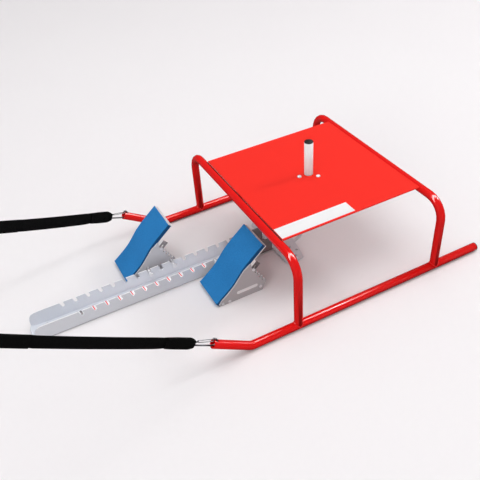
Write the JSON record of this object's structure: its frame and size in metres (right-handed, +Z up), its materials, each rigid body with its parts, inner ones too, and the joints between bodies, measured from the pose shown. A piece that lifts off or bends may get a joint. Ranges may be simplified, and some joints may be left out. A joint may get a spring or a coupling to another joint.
{
  "type": "drag sled",
  "caption": "Sprint drag sled: red tube runners and arches, weight deck with post, hook-on tow straps, and a loose starting block with notched rail and adjustable pads.",
  "frame": {"origin": "on the floor under the centre of the sled and block together, without the tow lines", "axes": "+X to the rear of the sled, +Y to the far runner, +Z up"},
  "size_m": [1.5396, 0.727, 0.4214],
  "materials": {
    "frame_paint": "gloss red powder coat",
    "deck_paint": "satin red powder coat",
    "post_paint": "white paint",
    "black_plastic": "moulded plug",
    "grey_steel": "light grey coated sheet steel",
    "zinc_steel": "zinc plated",
    "hook_steel": "zinc plated wire",
    "pad_rubber": "blue textured rubber",
    "webbing": "woven black webbing",
    "label": "bare white film label"
  },
  "bodies": {
    "sled": {"runner_near": "frame_paint", "runner_cap_near": "black_plastic", "runner_far": "frame_paint", "runner_cap_far": "black_plastic", "front_arch": "frame_paint", "rear_arch": "frame_paint", "deck": "deck_paint", "deck_label": "label", "post_flange": "zinc_steel", "weight_post": "post_paint", "post_plug": "black_plastic", "post_bolt_1": "zinc_steel", "post_bolt_2": "zinc_steel", "post_bolt_3": "zinc_steel", "post_nut_1": "zinc_steel", "post_nut_2": "zinc_steel", "post_nut_3": "zinc_steel", "snap_hook_near": "hook_steel", "strap_near": "webbing", "snap_hook_far": "hook_steel", "strap_far": "webbing"},
    "block": {"rail": "grey_steel", "rear_plate": "grey_steel"},
    "gate_near": {"hook_gate_near": "hook_steel"},
    "gate_far": {"hook_gate_far": "hook_steel"},
    "pedal_near": {"side_inner_near": "grey_steel", "side_outer_near": "grey_steel", "tie_front_near": "zinc_steel", "tie_rear_near": "zinc_steel", "hinge_pin_near": "zinc_steel", "stud_near_1": "zinc_steel", "stud_near_2": "zinc_steel", "pedal_label": "label"},
    "foot_near": {"foot_plate_near": "grey_steel", "foot_pad_near": "pad_rubber"},
    "rod_near": {"support_rod_near": "zinc_steel"},
    "pedal_far": {"side_inner_far": "grey_steel", "side_outer_far": "grey_steel", "tie_front_far": "zinc_steel", "tie_rear_far": "zinc_steel", "hinge_pin_far": "zinc_steel", "stud_far_1": "zinc_steel", "stud_far_2": "zinc_steel"},
    "foot_far": {"foot_plate_far": "grey_steel", "foot_pad_far": "pad_rubber"},
    "rod_far": {"support_rod_far": "zinc_steel"}
  },
  "joints": [
    {"name": "block_slide", "type": "slide", "parent": "sled", "child": "block", "axis": [1, 0, 0], "range_m": [-0.3, 0.45]},
    {"name": "pedal_lift_near", "type": "slide", "parent": "block", "child": "pedal_near", "axis": [-0.3304, 0, 0.9439], "range_m": [0, 0.03]},
    {"name": "foot_tilt_near", "type": "hinge", "parent": "pedal_near", "child": "foot_near", "pos_m": [-0.1399, -0.08185, 0.007], "axis": [0, -1, 0], "range_deg": [0, 5.6]},
    {"name": "rod_lift_near", "type": "slide", "parent": "pedal_near", "child": "rod_near", "axis": [-0.1392, 0, 0.9903], "range_m": [0, 0.0185]},
    {"name": "pedal_lift_far", "type": "slide", "parent": "block", "child": "pedal_far", "axis": [-0.3304, 0, 0.9439], "range_m": [0, 0.03]},
    {"name": "foot_tilt_far", "type": "hinge", "parent": "pedal_far", "child": "foot_far", "pos_m": [-0.3489, 0.16945, 0.007], "axis": [0, -1, 0], "range_deg": [0, 5.6]},
    {"name": "rod_lift_far", "type": "slide", "parent": "pedal_far", "child": "rod_far", "axis": [-0.1392, 0, 0.9903], "range_m": [0, 0.0185]},
    {"name": "gate_swing_near", "type": "hinge", "parent": "sled", "child": "gate_near", "pos_m": [-0.30662, -0.34781, 0.11928], "axis": [0.0401, 0.9992, 0], "range_deg": [0, 15], "stiffness_Nm_per_rad": 0.02, "springref_deg": -20.05},
    {"name": "gate_swing_far", "type": "hinge", "parent": "sled", "child": "gate_far", "pos_m": [-0.31666, 0.33076, 0.12788], "axis": [-0.3518, 0.9361, 0], "range_deg": [0, 15], "stiffness_Nm_per_rad": 0.02, "springref_deg": -20.05}
  ],
  "couplings": [
    {"joint": "rod_lift_near", "follows": "foot_tilt_near", "m_per_rad": 0.18108},
    {"joint": "rod_lift_far", "follows": "foot_tilt_far", "m_per_rad": 0.18108}
  ]
}
